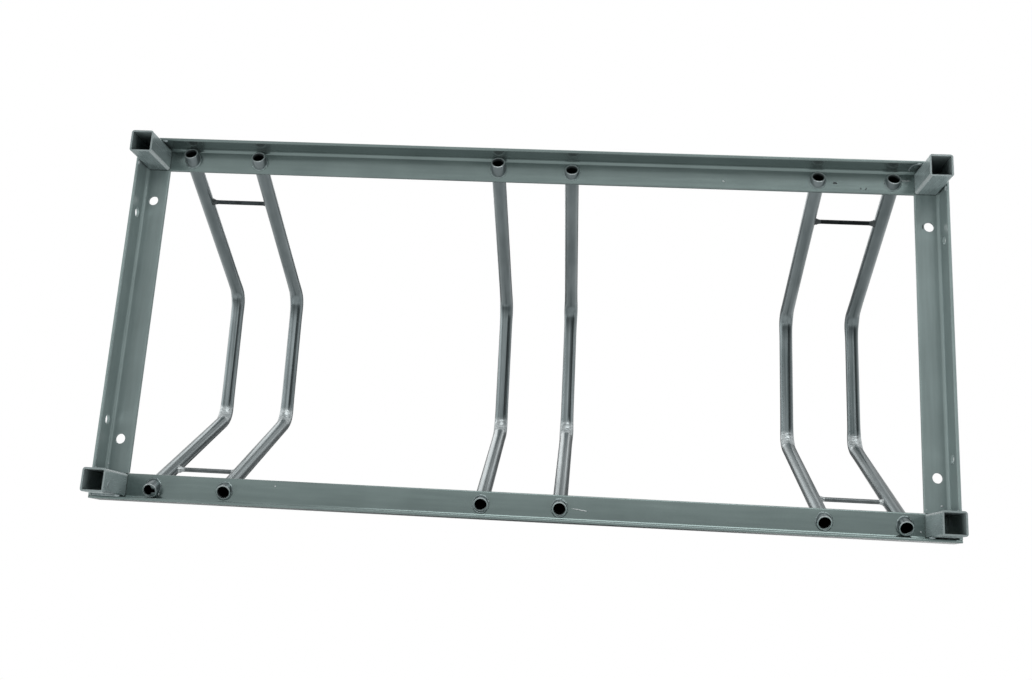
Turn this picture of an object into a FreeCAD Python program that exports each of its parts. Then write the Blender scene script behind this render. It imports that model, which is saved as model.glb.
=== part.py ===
import FreeCAD, Part
import math
import os

from FreeCAD import Vector

# Floor rack for three bicycles: a rectangle of steel angle on four square feet, with six bent tube
# hoops in three pairs. A wheel stands between the two hoops of a pair. Millimetres, Z up. The feet
# stand on Z = 0, X runs along the rails and the origin is under the middle of the rack.

# Frame of equal angle, one leg flat on top and the other hanging down on the outside
FRAME_LENGTH = 910.0
FRAME_WIDTH = 410.0
ANGLE_LEG = 30.0
ANGLE_WALL = 3.0
ANGLE_ROOT_RADIUS = 4.0
ANGLE_TOE_RADIUS = 1.5
BUTT_GAP = 0.4

# Bolt holes in the two side members
HOLE_DIAMETER = 11.0
HOLE_BACK_MARK = 15.0
TOP_HOLE_SPACING = 276.0
HANGING_HOLE_SPACING = 238.0

# Feet of square tube, open at the bottom
FOOT_SIDE = 25.0
FOOT_WALL = 2.0
FOOT_CORNER_RADIUS = 3.0
FOOT_HEIGHT = 60.0
FOOT_GAP = 1.5

# Hoops of round tube
TUBE_DIAMETER = 16.0
TUBE_WALL = 1.5
RACK_HEIGHT = 291.0
HOOP_LEAN = 25.5
HOOP_BEND_RADIUS = 27.0
TUBE_HOLE_CLEARANCE = 0.3
MOUTH_GAP = 0.8

# Places of the hoops: one slot in the middle and one near each end of the frame. The width of a
# pair is between the middles of its tubes and was set by hand. The two rows of holes sit a little
# to the right of the middle.
SLOT_END_DISTANCE = 95.0
LEFT_PAIR_WIDTH = 79.0
MIDDLE_PAIR_WIDTH = 84.0
RIGHT_PAIR_WIDTH = 83.0
FRONT_ROW_SHIFT = 0.5
REAR_ROW_SHIFT = 3.5

# How far the middle of each tube mouth hangs under the flange, left to right
FRONT_TAILS = (10.0, 8.0, 11.0, 4.0, 5.0, 5.5)
REAR_TAILS = (10.0, 4.5, 2.0, 3.0, 4.0, 7.0)

# Cross rods of round bar, and the heights of their middles
ROD_DIAMETER = 5.0
FRONT_LEFT_ROD_HEIGHT = 122.0
FRONT_RIGHT_ROD_HEIGHT = 120.5
REAR_LEFT_ROD_HEIGHT = 112.0
REAR_RIGHT_ROD_HEIGHT = 118.5

# Welds
RING_WELD_WIDTH = 2.6
RING_WELD_DEPTH = 2.2
RING_WELD_LIP = 0.5
ROD_WELD_WIDTH = 2.4
ROD_WELD_LENGTH = 4.5
ROD_WELD_LIP = 0.3
TACK_RADIUS = 4.5
TACK_LAP = 1.5
TACK_STAND_OFF = 2.0
SEAM_WELD_WIDTH = 6.0
SEAM_WELD_HEIGHT = 1.2
SEAM_WELD_SHORT = 2.0

# Sizes that follow
FRAME_TOP = FOOT_HEIGHT + ANGLE_WALL
TOE_HEIGHT = FRAME_TOP - ANGLE_LEG
HALF_LENGTH = FRAME_LENGTH / 2.0
HALF_WIDTH = FRAME_WIDTH / 2.0
TUBE_RADIUS = TUBE_DIAMETER / 2.0
TOE_RADIUS = min(ANGLE_TOE_RADIUS, 0.9 * ANGLE_WALL)
LEAN = math.radians(HOOP_LEAN)

# The hole row stands off the rail's back, so that the longest tail clears the hanging leg
LONGEST_TAIL = max(FRONT_TAILS + REAR_TAILS)
FLANGE_MIDDLE = FOOT_HEIGHT + ANGLE_WALL / 2.0
TAIL_REACH = (LONGEST_TAIL + ANGLE_WALL / 2.0) * math.tan(LEAN) + TUBE_RADIUS * math.cos(LEAN)
HOLE_ROW = HALF_WIDTH - ANGLE_WALL - MOUTH_GAP - TAIL_REACH
BEND_HEIGHT = RACK_HEIGHT - TUBE_RADIUS

# Plan place of the feet, inside both hanging legs
FOOT_X = HALF_LENGTH - ANGLE_WALL - FOOT_GAP - FOOT_SIDE / 2.0
FOOT_Y = HALF_WIDTH - ANGLE_WALL - FOOT_GAP - FOOT_SIDE / 2.0

CORNERS = (("front", "left"), ("front", "right"), ("rear", "left"), ("rear", "right"))
Y_SIGN = {"front": -1, "rear": 1}
X_SIGN = {"left": -1, "right": 1}
HOOP_NAMES = (
    "hoop_left_outer", "hoop_left_inner",
    "hoop_middle_left", "hoop_middle_right",
    "hoop_right_inner", "hoop_right_outer",
)


def save(name, shape):
    """Write one sub-part."""
    shape.exportStep(os.path.join("parts", name + ".step"))


def arc_between(start, end, centre):
    """The short arc from start to end round centre."""
    chord_middle = (start + end) * 0.5
    outward = chord_middle - centre
    outward.normalize()
    return Part.Arc(start, centre + outward * (start - centre).Length, end).toShape()


def angle_face(place, grow=0.0, root=ANGLE_ROOT_RADIUS):
    """Section of the angle, grown all round. place turns (inward, height) into a point."""
    low = FRAME_TOP - ANGLE_WALL - grow
    wall = ANGLE_WALL + grow
    reach = ANGLE_LEG + grow
    foot = FRAME_TOP - reach
    toe = TOE_RADIUS
    root_radius = root - grow
    top_outer = place(-grow, FRAME_TOP + grow)
    top_toe = place(reach, FRAME_TOP + grow)
    flat_toe = [place(reach, low + toe), place(reach - toe, low), place(reach - toe, low + toe)]
    fillet = [
        place(wall + root_radius, low),
        place(wall, low - root_radius),
        place(wall + root_radius, low - root_radius),
    ]
    hanging_toe = [place(wall, foot + toe), place(wall - toe, foot), place(wall - toe, foot + toe)]
    bottom_outer = place(-grow, foot)
    edges = [
        Part.makeLine(top_outer, top_toe),
        Part.makeLine(top_toe, flat_toe[0]),
        arc_between(*flat_toe),
        Part.makeLine(flat_toe[1], fillet[0]),
        arc_between(*fillet),
        Part.makeLine(fillet[1], hanging_toe[0]),
        arc_between(*hanging_toe),
        Part.makeLine(hanging_toe[1], bottom_outer),
        Part.makeLine(bottom_outer, top_outer),
    ]
    return Part.Face(Part.Wire(edges))


def rail_bar(row, grow=0.0, root=ANGLE_ROOT_RADIUS):
    """Angle along X at the front or the rear, its hanging leg outside."""
    sign = Y_SIGN[row]
    start = -HALF_LENGTH - grow

    def place(inward, height):
        return Vector(start, sign * (HALF_WIDTH - inward), height)

    return angle_face(place, grow, root).extrude(Vector(FRAME_LENGTH + 2.0 * grow, 0, 0))


def side_bar(side, root=ANGLE_ROOT_RADIUS):
    """Angle along Y on the left or the right, from rail back to rail back."""
    sign = X_SIGN[side]

    def place(inward, height):
        return Vector(sign * (HALF_LENGTH - inward), -HALF_WIDTH, height)

    return angle_face(place, 0.0, root).extrude(Vector(0, FRAME_WIDTH, 0))


def bolt_hole(centre, direction):
    """A hole through one leg of the angle, centred in its wall."""
    depth = 3.0 * ANGLE_WALL
    start = centre - direction * (depth / 2.0)
    return Part.makeCylinder(HOLE_DIAMETER / 2.0, depth, start, direction)


def side_member(side):
    """Side angle, coped to fit between the rails, with its four holes."""
    sign = X_SIGN[side]
    bar = side_bar(side)
    for row in Y_SIGN:
        bar = bar.cut(rail_bar(row, BUTT_GAP))
    wall_middle = ANGLE_WALL / 2.0
    for turn in (-1.0, 1.0):
        top = Vector(
            sign * (HALF_LENGTH - HOLE_BACK_MARK),
            turn * TOP_HOLE_SPACING / 2.0,
            FRAME_TOP - wall_middle,
        )
        hanging = Vector(
            sign * (HALF_LENGTH - wall_middle),
            turn * HANGING_HOLE_SPACING / 2.0,
            FRAME_TOP - HOLE_BACK_MARK,
        )
        bar = bar.cut(bolt_hole(top, Vector(0, 0, 1)))
        bar = bar.cut(bolt_hole(hanging, Vector(1, 0, 0)))
    return max(bar.Solids, key=lambda solid: solid.Volume)


def rounded_post(side_length, radius, centre_x, centre_y, low, high):
    """Upright square bar with rounded corners."""
    corner = Vector(centre_x - side_length / 2.0, centre_y - side_length / 2.0, low)
    post = Part.makeBox(side_length, side_length, high - low, corner)
    upright = [edge for edge in post.Edges if abs(edge.BoundBox.ZLength - (high - low)) < 0.01]
    return post.makeFillet(radius, upright)


def foot_block(row, side):
    """Outer form of one foot, trimmed to clear the root fillets of both angles."""
    centre_x = X_SIGN[side] * FOOT_X
    centre_y = Y_SIGN[row] * FOOT_Y
    block = rounded_post(FOOT_SIDE, FOOT_CORNER_RADIUS, centre_x, centre_y, 0.0, FOOT_HEIGHT)
    wide_root = ANGLE_ROOT_RADIUS + BUTT_GAP
    return block.cut(rail_bar(row, 0.0, wide_root)).cut(side_bar(side, wide_root))


def foot(row, side):
    """One foot, a square tube against the underside of the rail."""
    bore_side = FOOT_SIDE - 2.0 * FOOT_WALL
    bore_radius = max(FOOT_CORNER_RADIUS - FOOT_WALL, 0.4)
    centre_x = X_SIGN[side] * FOOT_X
    centre_y = Y_SIGN[row] * FOOT_Y
    bore = rounded_post(bore_side, bore_radius, centre_x, centre_y, -1.0, FOOT_HEIGHT + 1.0)
    return foot_block(row, side).cut(bore)


def hoop_centres():
    """X of the six hoops, left to right, before the shift of the rows."""
    outer_slot = HALF_LENGTH - SLOT_END_DISTANCE
    slots = (
        (-outer_slot, LEFT_PAIR_WIDTH),
        (0.0, MIDDLE_PAIR_WIDTH),
        (outer_slot, RIGHT_PAIR_WIDTH),
    )
    centres = []
    for middle, width in slots:
        centres += [middle - width / 2.0, middle + width / 2.0]
    return centres


def hoop_point(number, y, z):
    """A point of the upright plane of one hoop, which runs from hole to hole."""
    share = (y + HOLE_ROW) / (2.0 * HOLE_ROW)
    shift = FRONT_ROW_SHIFT + (REAR_ROW_SHIFT - FRONT_ROW_SHIFT) * share
    return Vector(hoop_centres()[number] + shift, y, z)


def leg_point(number, row, height):
    """The point of a hoop leg's axis at a height."""
    y = HOLE_ROW - (height - FLANGE_MIDDLE) * math.tan(LEAN)
    return hoop_point(number, Y_SIGN[row] * y, height)


def mouth_point(number, row):
    """The middle of the open end of a hoop leg."""
    tails = FRONT_TAILS if row == "front" else REAR_TAILS
    return leg_point(number, row, FOOT_HEIGHT - tails[number])


def leg_direction(number, row):
    """Down along a hoop leg."""
    down = leg_point(number, row, FOOT_HEIGHT) - leg_point(number, row, BEND_HEIGHT)
    return down.normalize()


def hoop_wire(number):
    """Axis of a hoop: two leaning legs, a level top and a round bend at each end of it."""
    start = mouth_point(number, "front")
    front_bend = leg_point(number, "front", BEND_HEIGHT)
    rear_bend = leg_point(number, "rear", BEND_HEIGHT)
    end = mouth_point(number, "rear")
    edges = []
    last = start
    for before, corner, after in ((start, front_bend, rear_bend), (front_bend, rear_bend, end)):
        back = (before - corner).normalize()
        onward = (after - corner).normalize()
        half_angle = back.getAngle(onward) / 2.0
        setback = HOOP_BEND_RADIUS / math.tan(half_angle)
        bisector = (back + onward).normalize()
        centre = corner + bisector * (HOOP_BEND_RADIUS / math.sin(half_angle))
        entry = corner + back * setback
        leave = corner + onward * setback
        edges += [Part.makeLine(last, entry), arc_between(entry, leave, centre)]
        last = leave
    edges.append(Part.makeLine(last, end))
    return Part.Wire(edges)


def swept(number, radius):
    """Solid bar of a radius along the axis of a hoop."""
    start = mouth_point(number, "front")
    direction = leg_direction(number, "front")
    profile = Part.Wire(Part.makeCircle(radius, start, direction))
    return hoop_wire(number).makePipeShell([profile], True, False)


def hoop(number):
    """One bent tube, open at both ends."""
    return swept(number, TUBE_RADIUS).cut(swept(number, TUBE_RADIUS - TUBE_WALL))


def leg_bar(number, row, radius, low, high):
    """Solid bar along a hoop leg between two heights of its axis."""
    start = leg_point(number, row, low)
    span = leg_point(number, row, high) - start
    return Part.makeCylinder(radius, span.Length, start, span)


def rail(row):
    """One long rail, with the six slanted holes that the hoops pass through."""
    bar = rail_bar(row)
    margin = ANGLE_WALL
    for number in range(len(HOOP_NAMES)):
        bar = bar.cut(leg_bar(
            number, row, TUBE_RADIUS + TUBE_HOLE_CLEARANCE,
            FOOT_HEIGHT - 2.0 * margin, FRAME_TOP + 2.0 * margin,
        ))
    return bar


def ring_weld(number, row, rail_solid):
    """Fillet weld round a tube, under the flange, thinner towards its lower edge."""
    tails = FRONT_TAILS if row == "front" else REAR_TAILS
    depth = min(RING_WELD_DEPTH, tails[number])
    slant = 1.0 / math.cos(LEAN)
    rings = []
    for drop, width in ((0.0, RING_WELD_WIDTH), (depth, RING_WELD_LIP)):
        middle = leg_point(number, row, FOOT_HEIGHT - drop)
        long_radius = TUBE_RADIUS * slant + width
        outline = Part.Ellipse(middle, long_radius, TUBE_RADIUS + width)
        outline.AngleXU = math.pi / 2.0
        rings.append(Part.Wire(outline.toShape()))
    bead = Part.makeLoft(rings, True, True)
    bead = bead.cut(leg_bar(number, row, TUBE_RADIUS, FOOT_HEIGHT - 3.0 * LONGEST_TAIL, BEND_HEIGHT))
    bead = bead.cut(rail_solid)
    return max(bead.Solids, key=lambda solid: solid.Volume)


def rod_axis(pair, row, height):
    """Both ends of a cross rod's axis, on the axes of the two tubes that it joins."""
    return leg_point(pair, row, height), leg_point(pair + 1, row, height)


def tube_bars(pair, row, height):
    """Solid forms of the two tubes near a cross rod."""
    reach = 3.0 * TUBE_DIAMETER
    low = max(height - reach, FRAME_TOP)
    return [leg_bar(number, row, TUBE_RADIUS, low, height + reach) for number in (pair, pair + 1)]


def cross_rod(pair, row, height):
    """Round bar between the two tubes of a pair, its ends shaped to the tubes."""
    start, end = rod_axis(pair, row, height)
    rod = Part.makeCylinder(ROD_DIAMETER / 2.0, (end - start).Length, start, end - start)
    for bar in tube_bars(pair, row, height):
        rod = rod.cut(bar)
    return rod


def rod_welds(pair, row, height):
    """The two flared welds at the ends of a cross rod."""
    start, end = rod_axis(pair, row, height)
    rod_radius = ROD_DIAMETER / 2.0
    rod = Part.makeCylinder(rod_radius, (end - start).Length, start, end - start)
    flares = []
    for middle, direction, bar in zip((start, end), (end - start, start - end),
                                      tube_bars(pair, row, height)):
        direction = Vector(direction).normalize()
        base = middle + direction * (TUBE_RADIUS / 2.0)
        flare = Part.makeCone(
            rod_radius + ROD_WELD_WIDTH, rod_radius + ROD_WELD_LIP,
            TUBE_RADIUS / 2.0 + ROD_WELD_LENGTH, base, direction,
        )
        flare = flare.cut(bar).cut(rod)
        flares.append(max(flare.Solids, key=lambda solid: solid.Volume))
    return flares


def tack(centre, row, side, steel):
    """Round tack weld between a foot and the toe of a hanging leg."""
    poles = Vector(X_SIGN[side], Y_SIGN[row], 0.5)
    ball = Part.makeSphere(TACK_RADIUS, centre, poles)
    reach_x = HALF_LENGTH - ANGLE_WALL + TACK_LAP
    reach_y = HALF_WIDTH - ANGLE_WALL + TACK_LAP
    low = Vector(-reach_x, -reach_y, 0.0)
    ball = ball.common(Part.makeBox(2.0 * reach_x, 2.0 * reach_y, FOOT_HEIGHT, low))
    ball = ball.cut(foot_block(row, side))
    for solid in steel:
        ball = ball.cut(solid)
    return max(ball.Solids, key=lambda solid: solid.Volume)


def corner_welds(row, side, steel):
    """The two tacks that hold a foot to the hanging legs, and the seam weld over the butt joint."""
    sign_x = X_SIGN[side]
    sign_y = Y_SIGN[row]
    height = TOE_HEIGHT + TACK_RADIUS / 3.0
    gap_x = HALF_LENGTH - ANGLE_WALL - FOOT_GAP / 2.0
    gap_y = HALF_WIDTH - ANGLE_WALL - FOOT_GAP / 2.0
    beside = FOOT_SIDE / 2.0 + TACK_STAND_OFF
    rail_tack = Vector(sign_x * (FOOT_X - beside), sign_y * gap_y, height)
    side_tack = Vector(sign_x * gap_x, sign_y * (FOOT_Y - beside), height)
    length = ANGLE_LEG - 2.0 * SEAM_WELD_SHORT
    near_x = HALF_LENGTH - SEAM_WELD_SHORT - length
    seam_y = HALF_WIDTH - ANGLE_LEG - BUTT_GAP / 2.0
    start = Vector(sign_x * near_x, sign_y * seam_y, FRAME_TOP)
    low_x = min(start.x, start.x + sign_x * length)
    half = SEAM_WELD_WIDTH / 2.0
    section = Part.Arc(
        Vector(low_x, start.y - half, FRAME_TOP),
        Vector(low_x, start.y, FRAME_TOP + SEAM_WELD_HEIGHT),
        Vector(low_x, start.y + half, FRAME_TOP),
    ).toShape()
    base = Part.makeLine(section.Vertexes[-1].Point, section.Vertexes[0].Point)
    seam = Part.Face(Part.Wire([section, base])).extrude(Vector(length, 0, 0))
    return [tack(rail_tack, row, side, steel), tack(side_tack, row, side, steel), seam]


def main():
    os.makedirs("parts", exist_ok=True)

    rails = {row: rail(row) for row in Y_SIGN}
    sides = {side: side_member(side) for side in X_SIGN}
    for row, solid in rails.items():
        save("rail_" + row, solid)
    for side, solid in sides.items():
        save("side_member_" + side, solid)

    for row, side in CORNERS:
        save("foot_" + row + "_" + side, foot(row, side))
        welds = corner_welds(row, side, (rails[row], sides[side]))
        save("corner_welds_" + row + "_" + side, Part.makeCompound(welds))

    for number, name in enumerate(HOOP_NAMES):
        save(name, hoop(number))
    for row, solid in rails.items():
        welds = [ring_weld(number, row, solid) for number in range(len(HOOP_NAMES))]
        save("ring_welds_" + row, Part.makeCompound(welds))

    rods = (
        ("front_left", 0, "front", FRONT_LEFT_ROD_HEIGHT),
        ("front_right", 4, "front", FRONT_RIGHT_ROD_HEIGHT),
        ("rear_left", 0, "rear", REAR_LEFT_ROD_HEIGHT),
        ("rear_right", 4, "rear", REAR_RIGHT_ROD_HEIGHT),
    )
    flares = []
    for name, pair, row, height in rods:
        save("cross_rod_" + name, cross_rod(pair, row, height))
        flares += rod_welds(pair, row, height)
    save("rod_welds", Part.makeCompound(flares))


main()
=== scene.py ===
import math

import bpy
from mathutils import Euler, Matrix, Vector, noise

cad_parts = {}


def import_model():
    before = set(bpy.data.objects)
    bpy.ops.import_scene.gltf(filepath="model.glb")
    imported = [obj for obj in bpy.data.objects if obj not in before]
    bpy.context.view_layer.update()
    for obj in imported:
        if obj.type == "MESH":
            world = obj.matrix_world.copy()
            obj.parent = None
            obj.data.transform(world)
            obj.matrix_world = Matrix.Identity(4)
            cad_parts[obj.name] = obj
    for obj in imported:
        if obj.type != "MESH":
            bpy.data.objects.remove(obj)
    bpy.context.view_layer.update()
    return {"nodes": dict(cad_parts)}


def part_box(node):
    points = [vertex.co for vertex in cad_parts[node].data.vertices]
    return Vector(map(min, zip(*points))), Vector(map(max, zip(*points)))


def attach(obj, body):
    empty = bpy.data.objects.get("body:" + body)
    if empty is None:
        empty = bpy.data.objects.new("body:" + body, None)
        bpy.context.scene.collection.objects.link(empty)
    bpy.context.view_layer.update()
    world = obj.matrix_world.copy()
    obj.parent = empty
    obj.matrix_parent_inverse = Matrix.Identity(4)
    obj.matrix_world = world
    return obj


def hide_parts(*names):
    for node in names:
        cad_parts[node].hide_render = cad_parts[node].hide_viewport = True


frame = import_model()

# Floor rack for three bicycles, welded from steel angle and tube and hot-dip galvanised in one
# piece. Metres, Z up, in the frame of the CAD model. The photograph looks up at the rack from
# below, with the feet towards the viewer.

NODES = frame["nodes"]
MM = 0.001
UP = Vector((0.0, 0.0, 1.0))
RIGHT = Vector((1.0, 0.0, 0.0))
BACK = Vector((0.0, 1.0, 0.0))

HOOPS = (
    "hoop_left_outer", "hoop_left_inner",
    "hoop_middle_left", "hoop_middle_right",
    "hoop_right_inner", "hoop_right_outer",
)
ANGLES = ("rail_front", "rail_rear", "side_member_left", "side_member_right")
CORNERS = ("front_left", "front_right", "rear_left", "rear_right")
ROW_SIGN = {"front": -1.0, "rear": 1.0}
SIDE_SIGN = {"left": -1.0, "right": 1.0}
# The numbers of the hoops that the cross rods of a side join
ROD_HOOPS = {"left": (0, 1), "right": (4, 5)}

# Sizes that the boxes of the frame's nodes don't give
HOOP_LEAN = math.radians(25.5)
HOOP_BEND_RADIUS = 27.0 * MM
TUBE_RADIUS = 8.0 * MM
TUBE_WALL = 1.5 * MM
TUBE_BORE = TUBE_RADIUS - TUBE_WALL
ROD_RADIUS = 2.5 * MM
RAIL_WALL = 3.0 * MM
BEND_TURN = math.pi / 2.0 - HOOP_LEAN
BEND_LENGTH = HOOP_BEND_RADIUS * BEND_TURN
RIM_SEARCH = 0.5 * MM
FLANGE_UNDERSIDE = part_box("foot_front_left")[1].z
RAIL_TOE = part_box("rail_front")[0].z
RAIL_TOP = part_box("rail_front")[1].z

# Softened edges
ANGLE_EDGE = 0.4 * MM
FOOT_EDGE = 0.3 * MM
ROD_EDGE = 0.2 * MM
MOUTH_EDGE = 0.3 * MM
SHARP_ANGLE = math.radians(35.0)
MOUTH_ANGLE = math.radians(50.0)

# Steps of the tube meshes
TUBE_SIDES = 48
BEND_STEPS = 32
LEG_STEPS = 12
TOP_STEPS = 20

# Marks that the bending die left inside a bend: place along the tube, depth and width, in
# millimetres. A front mark is placed from the edge of the dull patch, a rear one from the end of
# the level run. A bend is also a little wider and flatter than the round tube.
FRONT_DENTS = ((-1.0, 0.18, 1.0),)
REAR_DENTS = ((3.0, 0.25, 1.5), (8.0, 0.4, 1.4), (13.0, 0.4, 1.5), (18.5, 0.3, 1.4), (25.0, 0.25, 2.0))
DENT_STRENGTHS = (0.4, 0.5, 1.1, 1.2, 0.8, 0.9)
DENT_GRAIN = 5.0 * MM
BEND_FLAT = 0.6 * MM
BEND_WIDENINGS = (0.65, 0.6, 0.4, 0.6, 0.5, 0.95)
BEND_SPREAD = 15.0 * MM
# Where the dull patch behind the front bend starts on each hoop, in millimetres from the start of
# the level run
DULL_STARTS = (-17.0, -11.0, -24.0, -9.0, -9.0, -12.0)
# A painted reflection: a dark stripe along the tube's inner side, in millimetres to the right of the
# middle, and its half width as a multiple of the half width below
REFLECTION_STRIPE_PLACES = (4.9, 4.6, 4.2, 2.5, 3.1, 3.3)
REFLECTION_STRIPE_WIDTHS = (0.8, 1.2, 1.5, 1.6, 1.5, 1.5)
REFLECTION_STRIPE_HALF = 0.8 * MM
# How much paler or darker than the others each hoop is
HOOP_TONES = (-0.03, 0.0, -0.05, -0.05, -0.03, -0.15)
# The stored places that the tube's finish reads. Each hoop's pattern starts this many level runs
# past the one before, so that no two hoops look alike.
STORED_PLACES = ("tube_place", "mark_place", "mouth_place")
HOOP_OFFSET = 4.0

# Ring weld under the flange. Its depth is at most a share of the tube's stub below the flange.
BEAD_WIDTH = 1.5 * MM
BEAD_DEPTH = 0.7 * MM
BEAD_STUB_SHARE = 0.8
BEAD_SINK = 0.4 * MM
BEAD_SIDES = 96
BEAD_PROFILE = ((0.0, 0.95), (0.35, 0.85), (0.62, 0.55), (0.85, 0.25), (1.0, 0.0), (0.95, -0.1))
# How many ripples go round it, and its ripples, lumps and droop in millimetres
BEAD_RIPPLES = 26
BEAD_RIPPLE = 0.08
BEAD_LUMP = 0.4
BEAD_DROOP = 0.22

# Zinc that hardened in the open ends of some tubes: angle from the right, share of the bore's
# radius that it fills, and spread in degrees
MOUTH_DRIPS = {
    ("rear", 0): ((-48.0, 0.55, 30.0), (52.0, 0.6, 30.0), (100.0, 0.2, 40.0)),
    ("rear", 2): ((60.0, 0.12, 40.0),),
    ("rear", 4): ((55.0, 0.16, 35.0),),
    ("rear", 5): ((62.0, 0.24, 38.0),),
    ("front", 4): ((70.0, 0.14, 30.0),),
    ("front", 5): ((110.0, 0.2, 30.0),),
}
# The ring that this zinc is shaped from: its height in the bore and the rise of each step, in
# millimetres, the shrink of each step, and how far inwards its inner part then stands, as a share
# of the bore
DRIP_START = 0.25
DRIP_STEPS = ((0.15, 0.9), (0.7, 0.9), (1.4, 1.0 / 0.81))
DRIP_STAND = 0.19
# The thin film between the lobes, and the ring's sunk outside, as shares of the bore
DRIP_FILM = 0.03
DRIP_OUTSIDE = 1.02

# Lumps of weld metal and zinc, with half sizes in millimetres
LUMP_UNEVENNESS = 0.45
LUMP_GRAIN = 1.6 * MM
WELD_GRAIN = 0.3 * MM
ROD_WELD_GRAIN = 0.25 * MM
# Tack at a foot: place along the toe and half size of each lump, and the lumps' shape
TACK_LUMPS = ((-1.8, 1.1), (0.0, 1.6), (1.8, 1.2))
TACK_SHAPE = (1.2, 0.95, 0.9)
TACK_STANDOFF = 0.9 * MM
TACK_HEIGHT = 0.6 * MM
# Seam over a butt joint
SEAM_LENGTH = 26.0 * MM
SEAM_PITCH = 1.7 * MM
SEAM_RIPPLE = (1.9, 2.9, 1.15)
SEAM_INSET = 2.0 * MM
# Rows of zinc lumps at the rear left foot, up its edge, across its side and along the rail's toe:
# how many lumps, place of the first and pitch, in millimetres
RUN_ROW = (9, 3.6, 3.3)
SIDE_ROW = (4, 6.5, 1.8)
TOE_ROW = (9, 1.0, 2.9)
# Curved bead beside the front right foot: lumps, first angle and step in degrees, then in
# millimetres the height of its middle over the rail's toe, its reach and its half height
SCALLOP_LUMPS = 11
SCALLOP_START = -70.0
SCALLOP_STEP = 14.0
SCALLOP_MIDDLE = 15.0
SCALLOP_REACH = 6.5
SCALLOP_RISE = 13.0

# Flared welds of the cross rods, two ends of the left rod and two of the right: width and length
# in millimetres
ROD_FLARES = {
    "front": ((2.0, 6.0), (0.8, 3.0), (2.3, 7.0), (2.2, 6.0)),
    "rear": ((2.4, 7.0), (1.2, 3.5), (1.8, 5.0), (2.2, 4.5)),
}
FLARE_SIDES = 32
FLARE_STEPS = 8
FLARE_LIP = 0.1 * MM
FLARE_SINK = 0.6 * MM
# Lumps beside them on the left rod and on the right one: end of the rod, distance from the tube,
# rise along the leg, and half size
ROD_LUMPS = {
    "front": (
        ((0, 1.2, 2.4, 1.0), (0, 3.0, -2.6, 0.9), (0, 5.0, 2.3, 0.6)),
        ((0, 1.0, -2.5, 0.8), (1, 2.0, 2.5, 0.8)),
    ),
    "rear": (
        ((0, 0.8, 3.0, 1.3), (0, 3.5, 2.6, 0.9), (0, 6.5, -2.2, 0.8), (0, 9.0, 2.2, 0.5)),
        ((1, 0.6, -2.6, 1.7), (1, 2.6, -2.4, 1.2)),
    ),
}

# Small zinc drops and runs on the undersides of the flanges: middle and half sizes in
# millimetres, and turn in degrees
DROPS = (
    ((443.3, 167.0), (1.2, 1.0, 0.5), 0.0),
    ((427.4, 171.5), (0.7, 0.7, 0.4), 0.0),
    ((421.0, 194.5), (1.4, 0.9, 0.4), 20.0),
    ((67.0, 189.8), (9.0, 0.7, 0.35), 8.0),
    ((-389.0, 196.5), (0.9, 1.4, 0.5), 0.0),
    ((416.0, -191.4), (6.0, 0.7, 0.5), 2.0),
    ((-449.1, 165.7), (0.8, 1.0, 0.5), 0.0),
    ((-262.0, 181.0), (1.0, 0.8, 0.3), 0.0),
    ((214.0, -184.0), (1.3, 0.7, 0.3), 30.0),
)
# Dark marks on the front rail and beside a hole of the right side member
DARK_MARKS = (
    ((338.0, -186.0), (3.0, 1.3, 0.15), 4.0),
    ((372.0, -180.0), (0.6, 2.0, 0.25), 25.0),
    ((366.5, -180.5), (0.5, 1.6, 0.25), -20.0),
    ((393.0, -188.0), (0.6, 1.6, 0.25), 35.0),
    ((433.2, -138.0), (0.7, 2.4, 0.25), 0.0),
)

# Finishes of the angle bars, satin on the rails and duller on the side members: the scale that
# draws the runs out along the bar, dark, pale, metallic and roughness
BAR_FINISHES = {
    "hot_dip_zinc_on_rail": ((0.06, 1.0, 1.0), "#5f6c6b", "#73817f", 0.75, (0.17, 0.26)),
    "dull_zinc_on_side_member": ((1.0, 0.06, 1.0), "#687574", "#7c8a89", 0.4, (0.3, 0.42)),
}
# Finishes of the feet, of which the front left one is a darker copy, painted shade: dark, pale and
# the painted shade in the bore
FOOT_FINISHES = {
    "hot_dip_zinc_on_square_tube": ("#7c8989", "#9aa7a7", "#0c1513"),
    "dull_zinc_on_square_tube": ("#6c7979", "#849090", "#2e3a38"),
}
# Finishes of the small pieces. The rods are darker than the bars, and the welds are rougher and more
# uneven than the steel: size of the patches in millimetres, dark, pale, metallic and roughness.
SMALL_FINISHES = {
    "dark_zinc_on_front_rod": (9.0, "#24292a", "#41474a", 0.9, (0.4, 0.55)),
    "grey_zinc_on_rear_rod": (9.0, "#525859", "#6e7475", 0.9, (0.4, 0.55)),
    "near_black_zinc_on_rod": (9.0, "#0a0d0e", "#1b2021", 0.9, (0.4, 0.55)),
    "hot_dip_zinc_on_weld": (2.5, "#566162", "#8c9697", 0.6, (0.35, 0.55)),
    "hot_dip_zinc_on_ring_weld": (2.5, "#5c6868", "#7c8888", 0.6, (0.28, 0.42)),
    "bright_zinc_on_weld": (3.0, "#7c8283", "#c4caca", 0.6, (0.35, 0.5)),
    "dark_zinc_on_weld": (3.0, "#1c2021", "#4a5051", 0.6, (0.4, 0.55)),
}
ROD_FINISHES = {
    "front_left": "dark_zinc_on_front_rod", "front_right": "near_black_zinc_on_rod",
    "rear_left": "grey_zinc_on_rear_rod", "rear_right": "grey_zinc_on_rear_rod",
}
ROD_WELD_FINISHES = {"front": "dark_zinc_on_weld", "rear": "bright_zinc_on_weld"}

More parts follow.
